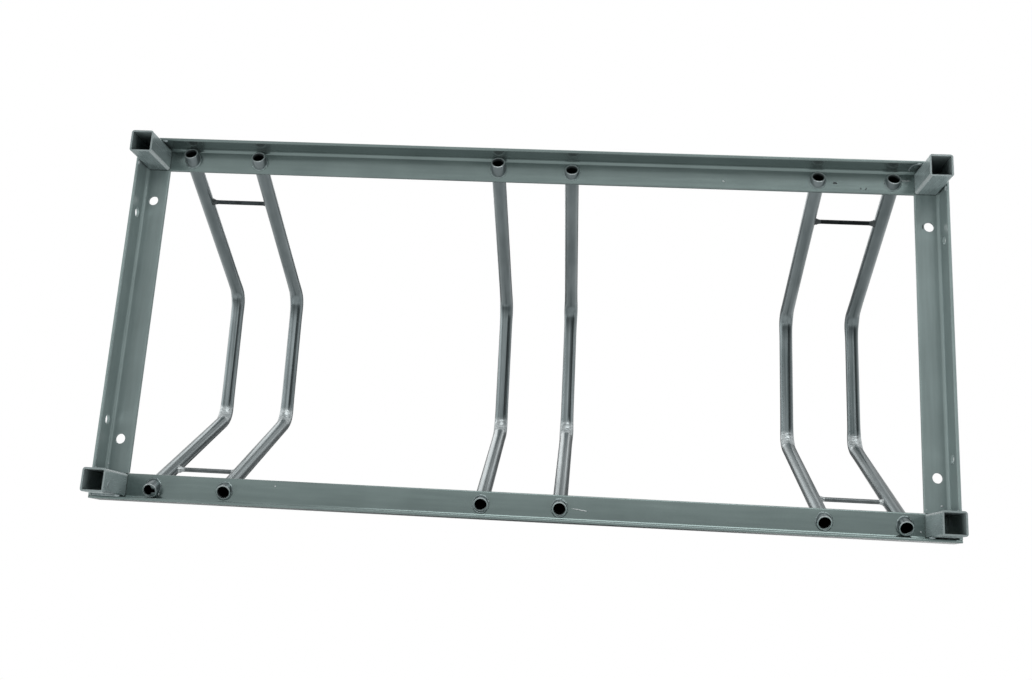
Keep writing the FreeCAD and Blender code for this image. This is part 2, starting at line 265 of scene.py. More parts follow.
# Camera under the rack: place, turn in degrees, lens and shift
CAMERA_PLACE = Vector((76.908, 270.593, -1182.079)) * MM
CAMERA_TURN = (-165.5576, -3.1833, -3.1116)
CAMERA_LENS = 40.25
CAMERA_SENSOR = 36.0
CAMERA_SHIFT = (-0.0036, -0.0464)

# Lamps: place, width, height, power, and whether the zinc mirrors it. All aim at the rack.
AIM = Vector((0.0, 0.0, 0.1))
LAMPS = {
    "high_box": ((0.0, -0.3, 2.4), 2.0, 1.4, 16.0, False),
    "low_box": ((0.3, -1.3, -1.0), 1.6, 1.0, 16.0, True),
    "low_left_box": ((-1.9, 0.6, -0.9), 1.2, 1.2, 50.0, False),
    "low_right_box": ((2.0, 0.7, -0.9), 1.2, 1.2, 34.0, False),
    "near_box": ((0.2, 1.5, -1.4), 2.0, 1.2, 11.0, False),
    "back_box": ((1.4, 2.2, 2.4), 1.4, 1.0, 8.0, False),
}
# Cards that only reflections see: place, width, height and strength. They face the rack.
CARDS = {
    "high_card": ((-0.05, -0.16, 1.6), 2.4, 0.62, 0.16),
    "high_dark_card": ((-0.1, 0.39, 1.6), 2.4, 0.48, 0.02),
    "front_card": ((0.0, -1.3, 2.0), 3.4, 1.0, 0.75),
    "high_left_strip": ((-0.72, -1.25, 1.9), 0.85, 1.5, 2.4),
    "high_right_strip": ((0.42, -0.85, 1.9), 0.25, 1.4, 2.0),
    "left_card": ((-2.3, -0.4, 0.45), 1.4, 1.9, 2.3),
    "back_card": ((0.0, 2.0, 1.15), 5.0, 1.7, 0.64),
    "low_card": ((3.2, -0.5, -2.6), 4.0, 2.0, 0.04),
}
# The floor turns from its own grey to the white of the background between two distances from the
# rack, in millimetres
FLOOR_SIZE = 40.0
FLOOR_OWN = 1200.0
FLOOR_WHITE = 6000.0


# Small tools

def linear(colour):
    """Linear colour of an sRGB hex value."""
    channels = [int(colour[start:start + 2], 16) / 255.0 for start in (1, 3, 5)]
    return [c / 12.92 if c <= 0.04045 else ((c + 0.055) / 1.055) ** 2.4 for c in channels] + [1.0]


def add_node(tree, kind, inputs, **options):
    """Add one node. options are its settings, inputs a value or another node's socket each."""
    node = tree.nodes.new("ShaderNode" + kind)
    for key, value in options.items():
        setattr(node, key, value)
    for key, value in inputs.items():
        if isinstance(value, bpy.types.NodeSocket):
            tree.links.new(value, node.inputs[key])
        else:
            node.inputs[key].default_value = value
    return node


def select_only(piece):
    """Make a piece the only selected object and the active one."""
    bpy.ops.object.select_all(action="DESELECT")
    piece.select_set(True)
    bpy.context.view_layer.objects.active = piece


def apply_modifier(piece, kind, **settings):
    """Add a modifier, set it and apply it."""
    modifier = piece.modifiers.new(kind.lower(), kind)
    for key, value in settings.items():
        setattr(modifier, key, value)
    select_only(piece)
    bpy.ops.object.modifier_apply(modifier=modifier.name)


def settled_primitive():
    """The primitive that was just added, with its place, turn and scale in its mesh."""
    bpy.ops.object.transform_apply(location=True, rotation=True, scale=True)
    return bpy.context.object


def join(pieces):
    """Join pieces into the first one."""
    select_only(pieces[0])
    for piece in pieces:
        piece.select_set(True)
    bpy.ops.object.join()
    return pieces[0]


def shade_round(piece):
    """Shade a piece smooth all over."""
    select_only(piece)
    bpy.ops.object.shade_smooth()


def shade_to_edges(piece):
    """Shade a piece smooth up to its sharp edges."""
    select_only(piece)
    bpy.ops.object.shade_smooth_by_angle(angle=SHARP_ANGLE)


def finish_piece(piece, name, material, slot, *nodes):
    """Name a piece, give it its finish, put it on the frame and let it stand for CAD nodes."""
    piece.name = name
    piece.data.name = name
    piece.data.materials.clear()
    piece.data.materials.append(material)
    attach(piece, "root")
    if nodes:
        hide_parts(*nodes)


def lumpiness(place, pitch, seed):
    """A smooth random number from -1 to 1 at a place, with lumps of about one pitch."""
    return noise.noise(place / pitch + Vector((7.3, 3.1, 5.7)) * seed)


def bell(distance, width):
    """1 at no distance, fading to nothing over a few widths."""
    return math.exp(-(distance / width) ** 2)


# Hoops

def mouth_middle(hoop, row):
    """Middle of the open end of a hoop's front or rear leg."""
    down = Vector((0.0, ROW_SIGN[row] * math.sin(HOOP_LEAN), -math.cos(HOOP_LEAN)))
    corners = [vertex.co for vertex in NODES[hoop].data.vertices]
    reach = max(corner.dot(down) for corner in corners)
    rim = [corner for corner in corners if corner.dot(down) > reach - RIM_SEARCH]
    low = Vector([min(corner[axis] for corner in rim) for axis in range(3)])
    high = Vector([max(corner[axis] for corner in rim) for axis in range(3)])
    return (low + high) / 2.0


def hoop_leg(mouth, sign, along, top):
    """One leg of a hoop, from its mouth up to its bend. sign is -1 at the front."""
    up = UP * math.cos(HOOP_LEAN) - along * sign * math.sin(HOOP_LEAN)
    setback = HOOP_BEND_RADIUS * math.tan(BEND_TURN / 2.0)
    length = (top - mouth.z) / math.cos(HOOP_LEAN) - setback
    bend_end = mouth + up * length
    corner = bend_end + up * setback
    centre = corner - along * sign * setback - UP * HOOP_BEND_RADIUS
    return {"mouth": mouth, "up": up, "length": length, "bend_end": bend_end, "centre": centre}


def hoop_line(hoop):
    """The axis of a hoop: two leaning legs, two bends and the level run between them."""
    mouths = {row: mouth_middle(hoop, row) for row in ROW_SIGN}
    along = (mouths["rear"] - mouths["front"]) * Vector((1.0, 1.0, 0.0))
    along.normalize()
    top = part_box(hoop)[1].z - TUBE_RADIUS
    line = {row: hoop_leg(mouths[row], sign, along, top) for row, sign in ROW_SIGN.items()}
    line["along"] = along
    line["across"] = along.cross(UP)
    line["run"] = (line["rear"]["centre"] - line["front"]["centre"]).dot(along)
    return line


def axis_place(point, line):
    """The nearest point of a hoop's axis, and its place from the start of the level run."""
    past_front = (point - line["front"]["centre"]).dot(line["along"])
    if 0.0 <= past_front <= line["run"]:
        start = line["front"]["centre"] + UP * HOOP_BEND_RADIUS
        return start + line["along"] * past_front, past_front
    row = "front" if past_front < 0.0 else "rear"
    leg, sign = line[row], ROW_SIGN[row]
    level_end = 0.0 if row == "front" else line["run"]
    spoke = point - leg["centre"]
    spoke -= line["across"] * spoke.dot(line["across"])
    turned = math.atan2(abs(spoke.dot(line["along"])), spoke.z)
    if turned < BEND_TURN:
        middle = leg["centre"] + spoke.normalized() * HOOP_BEND_RADIUS
        return middle, level_end + sign * turned * HOOP_BEND_RADIUS
    down_leg = (leg["bend_end"] - point).dot(leg["up"])
    return leg["bend_end"] - leg["up"] * down_leg, level_end + sign * (BEND_LENGTH + down_leg)


def tube_place(point, line):
    """A point's place on the straightened tube: to the right, outwards and along."""
    middle, length = axis_place(point, line)
    spoke = point - middle
    sideways = spoke.dot(line["across"])
    outward = math.sqrt(max(spoke.length_squared - sideways * sideways, 0.0))
    return Vector((sideways, math.copysign(outward, spoke.z), length))


def extrude_steps(way, steps):
    """Extrude the selected ring along a way, in equal steps."""
    for _ in range(steps):
        bpy.ops.mesh.extrude_edges_move(TRANSFORM_OT_translate={"value": way / steps})


def bent_tube(line):
    """The skin of a hoop: a ring drawn up the front leg, round both bends and down the rear leg."""
    front, rear = line["front"], line["rear"]
    turn = front["up"].to_track_quat("Z", "Y").to_euler()
    bpy.ops.mesh.primitive_circle_add(
        vertices=TUBE_SIDES, radius=TUBE_RADIUS, location=front["mouth"], rotation=turn)
    piece = settled_primitive()
    bpy.ops.object.mode_set(mode="EDIT")
    extrude_steps(front["up"] * front["length"], LEG_STEPS)
    bpy.ops.mesh.spin(steps=BEND_STEPS, angle=BEND_TURN, center=front["centre"], axis=line["across"])
    extrude_steps(line["along"] * line["run"], TOP_STEPS)
    bpy.ops.mesh.spin(steps=BEND_STEPS, angle=BEND_TURN, center=rear["centre"], axis=line["across"])
    extrude_steps(-rear["up"] * rear["length"], LEG_STEPS)
    bpy.ops.mesh.select_all(action="SELECT")
    bpy.ops.mesh.remove_doubles(threshold=0.01 * MM)
    bpy.ops.object.mode_set(mode="OBJECT")
    return piece


def mark_bends(piece, line, number):
    """Press the marks of the bending die into both bends, and flatten their outside a little."""
    dull_start = DULL_STARTS[number] * MM
    dents = [(dull_start + place * MM, depth, width) for place, depth, width in FRONT_DENTS]
    dents += [(line["run"] + place * MM, depth, width) for place, depth, width in REAR_DENTS]
    bend_middles = (-BEND_LENGTH / 2.0, line["run"] + BEND_LENGTH / 2.0)
    for vertex in piece.data.vertices:
        place = tube_place(vertex.co, line)
        spoke = (vertex.co - axis_place(vertex.co, line)[0]).normalized()
        uneven = 1.0 + 0.9 * lumpiness(place, DENT_GRAIN, number)
        dent = sum(depth * bell(place.z - start, width * MM) for start, depth, width in dents)
        inside = max(0.0, -place.y / TUBE_RADIUS)
        outside = max(0.0, place.y / TUBE_RADIUS)
        bent = max(bell(place.z - middle, BEND_SPREAD) for middle in bend_middles)
        press = dent * inside * uneven * DENT_STRENGTHS[number] * MM + BEND_FLAT * bent * outside ** 2
        widening = BEND_WIDENINGS[number] * MM * bent * place.x / TUBE_RADIUS
        vertex.co += line["across"] * widening - spoke * press


def store_places(piece, line, number):
    """Write each point's place on the straightened tube, which the finish follows.

    The second place is measured from the marks: past the start of the dull patch, to the right of
    the painted reflection stripe in its own widths, and past the end of the level run. The third
    holds the distance from the tube's axis, the distance from the nearer mouth, and the tone of the
    hoop.
    """
    attributes = piece.data.attributes
    for name in STORED_PLACES:
        attributes.new(name, "FLOAT_VECTOR", "POINT")
    for vertex in piece.data.vertices:
        place = tube_place(vertex.co, line)
        legs = [(vertex.co - line[row]["mouth"]).dot(line[row]["up"]) for row in ROW_SIGN]
        from_mouth = Vector((math.hypot(place.x, place.y), min(legs), HOOP_TONES[number]))
        from_stripe = (place.x - REFLECTION_STRIPE_PLACES[number] * MM) / REFLECTION_STRIPE_WIDTHS[number]
        from_marks = Vector((place.z - DULL_STARTS[number] * MM, from_stripe, place.z - line["run"]))
        place.z += number * line["run"] * HOOP_OFFSET
        for name, stored in zip(STORED_PLACES, (place, from_marks, from_mouth)):
            attributes[name].data[vertex.index].vector = stored


def hoop_piece(number, material):
    """One bent tube with its wall, die marks and softened mouths."""
    hoop = HOOPS[number]
    line = hoop_line(hoop)
    piece = bent_tube(line)
    mark_bends(piece, line, number)
    apply_modifier(piece, "SOLIDIFY", thickness=TUBE_WALL, offset=-1.0)
    apply_modifier(piece, "BEVEL", width=MOUTH_EDGE, segments=2, limit_method="ANGLE",
                   angle_limit=MOUTH_ANGLE)
    store_places(piece, line, number)
    shade_to_edges(piece)
    finish_piece(piece, hoop + "_tube", material, "galvanised_round_tube", hoop)


# Rails, side members, feet and rods

def dressed_node(node, ending, edge, material, slot):
    """Put a merged copy of a CAD node with softened edges in its place."""
    piece = bpy.data.objects.new(node + "_piece", NODES[node].data.copy())
    bpy.context.scene.collection.objects.link(piece)
    select_only(piece)
    bpy.ops.object.mode_set(mode="EDIT")
    bpy.ops.mesh.select_all(action="SELECT")
    bpy.ops.mesh.remove_doubles(threshold=0.005 * MM)
    bpy.ops.mesh.customdata_custom_splitnormals_clear()
    bpy.ops.mesh.dissolve_limited(angle_limit=math.radians(0.5))
    bpy.ops.object.mode_set(mode="OBJECT")
    apply_modifier(piece, "BEVEL", width=edge, segments=2, limit_method="ANGLE", angle_limit=SHARP_ANGLE)
    shade_to_edges(piece)
    apply_modifier(piece, "WEIGHTED_NORMAL", weight=100, keep_sharp=True)
    finish_piece(piece, node + ending, material, slot, node)


# Welds

def selected_middle(piece):
    """Middle of the selected points in edit mode."""
    piece.update_from_editmode()
    picked = [vertex.co for vertex in piece.data.vertices if vertex.select]
    return sum(picked, Vector()) / len(picked)


def close_ring(piece):
    """Join the first and the last loop of a ring, and turn its faces outwards."""
    bpy.ops.mesh.select_all(action="DESELECT")
    bpy.ops.mesh.select_non_manifold(
        extend=False, use_wire=False, use_boundary=True, use_multi_face=False,
        use_non_contiguous=False, use_verts=False)
    bpy.ops.mesh.bridge_edge_loops()
    bpy.ops.mesh.select_all(action="SELECT")
    bpy.ops.mesh.remove_doubles(threshold=0.005 * MM)
    bpy.ops.mesh.normals_make_consistent(inside=False)
    bpy.ops.object.mode_set(mode="OBJECT")


def ring_bead(line, row, seed):
    """Thin fillet weld round a tube, against the underside of the rail's flange."""
    mouth, up = line[row]["mouth"], line[row]["up"]
    middle = mouth + up * ((FLANGE_UNDERSIDE - mouth.z) / up.z)
    depth = min(BEAD_DEPTH, BEAD_STUB_SHARE * (middle.z - mouth.z))
    across = TUBE_RADIUS - BEAD_SINK
    bpy.ops.mesh.primitive_circle_add(vertices=BEAD_SIDES, radius=across)
    piece = bpy.context.object
    bpy.ops.object.mode_set(mode="EDIT")
    bpy.ops.transform.resize(value=(1.0, 1.0 / up.z, 1.0))
    bpy.ops.transform.translate(value=middle + up * BEAD_SINK)
    for width, drop in BEAD_PROFILE:
        wider = TUBE_RADIUS + width * BEAD_WIDTH
        bpy.ops.mesh.extrude_edges_move()
        bpy.ops.transform.resize(value=[wider / across] * 2 + [1.0], center_override=middle)
        across = wider
        level = middle - up * (drop * depth / up.z)
        bpy.ops.transform.translate(value=level - selected_middle(piece))
    close_ring(piece)
    for vertex in piece.data.vertices:
        spoke = vertex.co - middle - up * (vertex.co - middle).dot(up)
        out = min(1.0, (spoke.length - TUBE_RADIUS) / (0.3 * BEAD_WIDTH))
        if out > 0.0:
            ripple = BEAD_RIPPLE * math.sin(BEAD_RIPPLES * math.atan2(spoke.y, spoke.x) + seed)
            rough = lumpiness(vertex.co, 3.0 * MM, seed) + 0.6 * lumpiness(vertex.co, 1.5 * MM, seed)
            vertex.co += spoke.normalized() * out * (ripple + BEAD_LUMP * rough) * MM
            vertex.co.z -= out * BEAD_DROOP * rough * MM
            vertex.co.z = min(vertex.co.z, FLANGE_UNDERSIDE + 0.3 * MM)
    return piece


def mouth_drip(line, row, lobes, seed):
    """Zinc that hardened on the bore just inside a mouth, thickest where its lobes are."""
    mouth, up = line[row]["mouth"], line[row]["up"]
    below = up.cross(RIGHT)
    bpy.ops.mesh.primitive_circle_add(
        vertices=BEAD_SIDES, radius=TUBE_BORE, location=mouth + up * DRIP_START * MM,
        rotation=up.to_track_quat("Z", "Y").to_euler())
    piece = settled_primitive()
    bpy.ops.object.mode_set(mode="EDIT")
    for rise, shrink in DRIP_STEPS:
        bpy.ops.mesh.extrude_edges_move(TRANSFORM_OT_translate={"value": up * rise * MM})
        bpy.ops.transform.resize(value=[shrink] * 3, center_override=selected_middle(piece))
    close_ring(piece)
    for vertex in piece.data.vertices:
        rise = (vertex.co - mouth).dot(up)
        spoke = vertex.co - mouth - up * rise
        angle = math.degrees(math.atan2(spoke.dot(below), spoke.x))
        fill = DRIP_FILM
        for middle, reach, spread in lobes:
            apart = (angle - middle + 180.0) % 360.0 - 180.0
            fill += reach * bell(apart, spread)
        inward = 1.0 - spoke.length / TUBE_BORE
        uneven = 1.0 + 0.25 * lumpiness(vertex.co, 2.5 * MM, seed)
        share = DRIP_OUTSIDE - inward / DRIP_STAND * fill * uneven
        vertex.co = mouth + up * rise + spoke.normalized() * TUBE_BORE * share
    return piece


def ring_welds(row, material):
    """All ring welds of one rail, with the zinc in the mouths of its tubes, as one piece."""
    beads = []
    for number, hoop in enumerate(HOOPS):
        line = hoop_line(hoop)
        seed = number + 7 * (ROW_SIGN[row] + 1.0)
        beads.append(ring_bead(line, row, seed))
        if (row, number) in MOUTH_DRIPS:
            beads.append(mouth_drip(line, row, MOUTH_DRIPS[row, number], seed))
    piece = join(beads)
    shade_round(piece)
    node = "ring_welds_" + row
    finish_piece(piece, node + "_beads", material, "galvanised_weld", node)


def lump(place, half_sizes, turn, seed):
    """One uneven lump of weld metal or zinc."""
    bpy.ops.mesh.primitive_ico_sphere_add(
        subdivisions=3, radius=1.0, location=place, rotation=(0.0, 0.0, math.radians(turn)),
        scale=[half * MM for half in half_sizes])
    piece = settled_primitive()
    for vertex in piece.data.vertices:
        away = vertex.co - Vector(place)
        vertex.co += away * LUMP_UNEVENNESS * lumpiness(vertex.co, LUMP_GRAIN, seed)
    return piece


def fused(pieces, grain):
    """Melt overlapping lumps into one smooth skin."""
    piece = join(pieces)
    apply_modifier(piece, "REMESH", mode="VOXEL", voxel_size=grain)
    apply_modifier(piece, "SMOOTH", factor=0.5, iterations=3)
    shade_round(piece)
    return piece


def tack_lumps(place, way, seed):
    """A short tack: three lumps in a row along the toe of a hanging leg."""
    turn = math.degrees(math.atan2(way.y, way.x))
    lumps = []
    for number, (offset, half) in enumerate(TACK_LUMPS):
        middle = place + way * offset * MM - UP * (0.2 * half * MM)
        lumps.append(lump(middle, [side * half for side in TACK_SHAPE], turn, seed + 3 * number))
    return lumps


def seam_lumps(start, seed):
    """The seam weld over a butt joint: a row of flat overlapping ripples."""
    lumps = []
    for number in range(int(SEAM_LENGTH / SEAM_PITCH)):
        middle = start + RIGHT * (number + 0.7) * SEAM_PITCH
        sway = 0.5 * MM * lumpiness(middle, 6.0 * MM, seed)
        lumps.append(lump(middle + Vector((0.0, sway, -0.1 * MM)), SEAM_RIPPLE, 0.0, seed + number))
    return lumps


def row_places(count, first, pitch):
    """Number and place of each lump in a row."""
    return [(number, (first + pitch * number) * MM) for number in range(count)]


def zinc_run(seed):
    """Zinc at the rear left foot: a run down its inner rear edge, a drip beside the run, and a
    row along the toe of the rail."""
    low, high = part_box("foot_rear_left")
    lumps = []
    for number, height in row_places(*RUN_ROW):
        half = 1.5 + 0.5 * lumpiness(Vector((0.0, 0.0, height)), 4.0 * MM, seed)
        middle = Vector((high.x - 0.6 * MM, high.y - 1.0 * MM, height))
        lumps.append(lump(middle, (half, half, 2.6), 0.0, seed + number))
    for number, away in row_places(*SIDE_ROW):
        middle = Vector((high.x, high.y - away, (9.0 + 0.8 * number) * MM))
        lumps.append(lump(middle, (0.9, 1.6, 2.4 - 0.5 * number), 0.0, seed - number))
    for number, away in row_places(*TOE_ROW):
        middle = Vector((low.x + away, high.y + 0.7 * MM, RAIL_TOE + 1.2 * MM))
        lumps.append(lump(middle, (2.4, 1.3, 1.7), 0.0, seed + 20.0 + number))
    return lumps


def scallop_bead(seed):
    """The curved bead on the inner face of the rail's hanging leg, beside the front right foot."""
    foot_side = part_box("foot_front_right")[0].x
    rail_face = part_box("rail_front")[0].y + RAIL_WALL
    lumps = []
    for number in range(SCALLOP_LUMPS):
        turned = math.radians(SCALLOP_START + SCALLOP_STEP * number)
        height = RAIL_TOE + SCALLOP_MIDDLE * MM + math.sin(turned) * SCALLOP_RISE * MM
        beside = foot_side - 1.0 * MM - math.cos(turned) * SCALLOP_REACH * MM
        lumps.append(lump(Vector((beside, rail_face, height)), (1.2, 0.8, 1.6), 0.0, seed + number))
    return lumps


def corner_welds(corner, material):
    """The two tacks of a foot and the seam weld over the butt joint, as one piece."""
    node = "corner_welds_" + corner
    row, side = corner.split("_")
    sign_x, sign_y = SIDE_SIGN[side], ROW_SIGN[row]
    seed = 2.0 * sign_x + sign_y
    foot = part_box("foot_" + corner)
    middle = (foot[0] + foot[1]) / 2.0
    beside = (foot[1].x - foot[0].x) / 2.0 + TACK_STANDOFF
    height = RAIL_TOE + TACK_HEIGHT
    rail_tack = Vector((middle.x - sign_x * beside, middle.y + sign_y * beside, height))
    side_tack = Vector((middle.x + sign_x * beside, middle.y - sign_y * beside, height))
    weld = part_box(node)
    seam_low = weld[0].x if side == "left" else weld[1].x - SEAM_LENGTH
    seam_low = max(seam_low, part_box("side_member_" + side)[0].x + SEAM_INSET)
    seam_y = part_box("rail_" + row)[0 if row == "rear" else 1].y - sign_y * 0.2 * MM
    lumps = tack_lumps(rail_tack, RIGHT, seed) + tack_lumps(side_tack, BACK, seed + 5.0)
    lumps += seam_lumps(Vector((seam_low, seam_y, RAIL_TOP)), seed)
    if corner == "rear_left":
        lumps += zinc_run(seed)
    if corner == "front_right":
        lumps += scallop_bead(seed + 9.0)
    finish_piece(fused(lumps, WELD_GRAIN), node + "_beads", material, "galvanised_weld", node)


def rod_flare(start, way, leg_up, width, length, seed):
    """Flared weld between a cross rod and the round of a tube. start is on the tube's axis."""
    side = way.cross(leg_up)
    across = ROD_RADIUS + width
    bpy.ops.mesh.primitive_circle_add(
        vertices=FLARE_SIDES, radius=across, location=start, fill_type="NGON",
        rotation=way.to_track_quat("Z", "Y").to_euler())
    piece = settled_primitive()
    bpy.ops.object.mode_set(mode="EDIT")
    for step in range(1, FLARE_STEPS + 1):
        share = step / FLARE_STEPS
        wider = ROD_RADIUS + FLARE_LIP + width * (1.0 - share) ** 2
        onward = way * length / FLARE_STEPS
        bpy.ops.mesh.extrude_region_move(TRANSFORM_OT_translate={"value": onward})
        middle = start + way * length * share
        bpy.ops.transform.resize(value=[wider / across] * 3, center_override=middle)
        across = wider
    bpy.ops.mesh.select_all(action="SELECT")
    bpy.ops.mesh.normals_make_consistent(inside=False)
    bpy.ops.object.mode_set(mode="OBJECT")
    sunk = TUBE_RADIUS - FLARE_SINK
    for vertex in piece.data.vertices:
        reach = (vertex.co - start).dot(way)
        spoke = vertex.co - start - way * reach
        base = math.sqrt(max(sunk ** 2 - spoke.dot(side) ** 2, 0.0))
        vertex.co += way * (base + (sunk - base) * reach / length)
        if spoke.length > 0.0:
            fine, coarse = [lumpiness(vertex.co, pitch * MM, seed) * 0.5 for pitch in (1.5, 3.0)]
            fading = 1.0 - 0.6 * reach / length
            vertex.co += spoke.normalized() * (fine + coarse) * fading * MM
    return piece


def rod_welds(row, material):
    """The flared welds of the two cross rods of one row, and the lumps beside some of them."""
    pieces = []
    for pair, (side, hoops) in enumerate(ROD_HOOPS.items()):
        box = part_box("cross_rod_" + row + "_" + side)
        height = (box[0].z + box[1].z) / 2.0
        legs = [hoop_line(HOOPS[number])[row] for number in hoops]
        ends = [leg["mouth"] + leg["up"] * ((height - leg["mouth"].z) / leg["up"].z) for leg in legs]
        way = (ends[1] - ends[0]).normalized()
        for end, (leg, start, onward) in enumerate(zip(legs, ends, (way, -way))):
            width, length = ROD_FLARES[row][2 * pair + end]
            seed = 3.0 + 2.0 * pair + end + ROW_SIGN[row]
            pieces.append(rod_flare(start, onward, leg["up"], width * MM, length * MM, seed))
        for end, reach, rise, half in ROD_LUMPS[row][pair]:
            onward = way if end == 0 else -way
            spot = ends[end] + onward * (TUBE_RADIUS + reach * MM) + legs[end]["up"] * rise * MM
            pieces.append(lump(spot, (half, half, half * 1.2), 0.0, reach + rise))
    name = "rod_welds_" + row + "_beads"
    finish_piece(fused(pieces, ROD_WELD_GRAIN), name, material, "galvanised_weld", "rod_welds")


def zinc_drops(name, places, material):
    """Small drops, runs or marks on the undersides of the flanges, as one piece."""
    lumps = []
    for seed, ((x, y), half_sizes, turn) in enumerate(places):
        lumps.append(lump((x * MM, y * MM, FLANGE_UNDERSIDE), half_sizes, turn, seed))
    piece = join(lumps)
    shade_round(piece)
    finish_piece(piece, name, material, "galvanised_weld")


# Patterns of the finishes

def new_material(name):
    """A material with an empty tree."""
    material = bpy.data.materials.new(name)
    material.use_nodes = True
    material.node_tree.nodes.clear()
    return material, material.node_tree


def combine(tree, operation, *numbers):
    """Numbers put together one after another, by an operation such as ADD or MULTIPLY. ABSOLUTE is
    given a 0.0 as its second number, which it doesn't read."""
    result = numbers[0]
    for number in numbers[1:]:
        result = add_node(tree, "Math", {0: result, 1: number}, operation=operation).outputs[0]
    return result


def patches(tree, place, size, detail=3.0, spread=0.5, drawn=None):
    """Cloudy pattern with patches of about one size, from 0 to 1. An axis that drawn shrinks is
    one that the patches are drawn out along."""
    if drawn:
        place = add_node(tree, "Mapping", {"Vector": place, "Scale": drawn}).outputs["Vector"]
    cloud = add_node(tree, "TexNoise", {"Vector": place, "Scale": 1.0 / size, "Detail": detail})
    return add_node(tree, "MapRange", {
        "Value": cloud.outputs["Fac"], "From Min": 0.5 - 0.5 * spread, "From Max": 0.5 + 0.5 * spread,
    }).outputs["Result"]


def band(tree, value, middle, half, soft):
    """1 within half of the middle, falling to 0 over a soft edge."""
    away = combine(tree, "ABSOLUTE", combine(tree, "SUBTRACT", value, middle), 0.0)
    return add_node(tree, "MapRange", {
        "Value": away, "From Min": half + soft, "From Max": half,
    }).outputs["Result"]


def shown(tree, *spans):
    """1 where every value is past the end of its span, 0 where one is short of its start. A span
    is a value, its start and its end, in millimetres."""
    shares = []
    for value, start, end in spans:
        span = {"Value": value, "From Min": start * MM, "From Max": end * MM}
        shares.append(add_node(tree, "MapRange", span).outputs["Result"])
    return combine(tree, "MULTIPLY", *shares)


def layered(tree, colour, *layers):
    """A colour with others laid over it in turn. A layer is its share and its hex value."""
    colour = linear(colour)
    for share, over in layers:
        mix = add_node(tree, "Mix", {0: share, 6: colour, 7: linear(over)}, data_type="RGBA")
        colour = mix.outputs[2]
    return colour


def varied(tree, share, low, high, *more):
    """A number that follows a share from low to high, with more numbers added to it."""
    number = add_node(tree, "MapRange", {"Value": share, "To Min": low, "To Max": high})
    return combine(tree, "ADD", number.outputs["Result"], *more)


def skin(tree, colour, metallic, rough, *bumps):
    """The surface at the end of a tree. A bump is its pattern, its depth and its strength."""
    inputs = {"Base Color": colour, "Metallic": metallic, "Roughness": rough}
    normal = {}
    for height, depth, strength in bumps:
        bump = {"Height": height, "Distance": depth * MM, "Strength": strength}
        normal = {"Normal": add_node(tree, "Bump", bump | normal).outputs["Normal"]}
    surface = add_node(tree, "BsdfPrincipled", inputs | normal)
    add_node(tree, "OutputMaterial", {"Surface": surface.outputs["BSDF"]})


def zinc(tree, place, colour, metallic, rough, grain, strength):
    """Zinc with a fine grain that breaks up its gloss, at the end of a tree."""
    grit = patches(tree, place, grain, 2.0, 0.8)
    waves = patches(tree, place, 14.0 * MM, 2.0, 0.8)
    skin(tree, colour, metallic, rough, (grit, 0.03, strength), (waves, 0.12, 0.5))


# Finishes

def zinc_on_bar(name, drawn, dark, pale, metallic, rough):
    """Hot-dip zinc on rolled steel: satin grey, cloudy, with faint runs along the bar."""
    material, tree = new_material(name)
    place = add_node(tree, "TexCoord", {}).outputs["Object"]
    cloud = patches(tree, place, 45.0 * MM, 3.0, 0.6)
    runs = patches(tree, place, 4.0 * MM, 3.0, 0.6, drawn)
    tone = combine(tree, "MULTIPLY", combine(tree, "ADD", cloud, runs), 0.5)
    colour = layered(tree, dark, (tone, pale))
    zinc(tree, place, colour, metallic, varied(tree, runs, *rough), 2.0 * MM, 0.15)
    return material


def zinc_on_foot(name, dark, pale, shaded_bore_colour):
    """Hot-dip zinc on square tube, with a dull bore. Painted shade darkens the cut ends, the bore, and a
    line on top, where the foot meets the flange; a painted highlight lightens the inner edge."""
    material, tree = new_material(name)
    low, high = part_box("foot_rear_right")
    half = (high.x - low.x) / 2.0
    place = add_node(tree, "TexCoord", {}).outputs["Object"]
    axes = add_node(tree, "SeparateXYZ", {0: place}).outputs
    # How far out of the foot's middle a point is. The four feet mirror one another.
    off = []
    for axis in (0, 1):
        mirrored = combine(tree, "ABSOLUTE", axes[axis], 0.0)
        off.append(combine(tree, "SUBTRACT", mirrored, (low[axis] + high[axis]) / 2.0))
    cloud = patches(tree, place, 30.0 * MM, 3.0, 0.6)
    runs = patches(tree, place, 4.0 * MM, 3.0, 0.6, (1.0, 1.0, 0.1))
    tone = combine(tree, "ADD", combine(tree, "MULTIPLY", cloud, 3.0), runs)
    tone = combine(tree, "MULTIPLY", tone, 0.25)
    wide = combine(tree, "MAXIMUM", *[combine(tree, "ABSOLUTE", away, 0.0) for away in off])
    # Painted shade darkens the bore of the foot, which is also rougher
    shaded_bore = band(tree, wide, 0.0, half - 2.3 * MM, 0.4 * MM)
    # Painted shade darkens the cut ends
    shaded_cut_end = band(tree, axes["Z"], 0.0, 0.1 * MM, 0.15 * MM)
    # Painted shade darkens a line on top, in the gap where the foot meets the flange
    shaded_top_line = band(tree, axes["Z"], high.z, 0.7 * MM, 0.5 * MM)
    # Painted highlight lightens the inner edge of the foot
    edge = band(tree, combine(tree, "ADD", *off), -2.0 * (half - 0.9 * MM), 0.7 * MM, 0.7 * MM)
    colour = layered(
        tree, dark, (tone, pale), (edge, "#b4bcbc"), (shaded_cut_end, "#747e7e"), (shaded_top_line, "#1c2122"),
        (shaded_bore, shaded_bore_colour))
    dullness = combine(tree, "MULTIPLY", shaded_bore, 0.4)
    zinc(tree, place, colour, 0.45, varied(tree, runs, 0.22, 0.32, dullness), 2.0 * MM, 0.15)
    return material


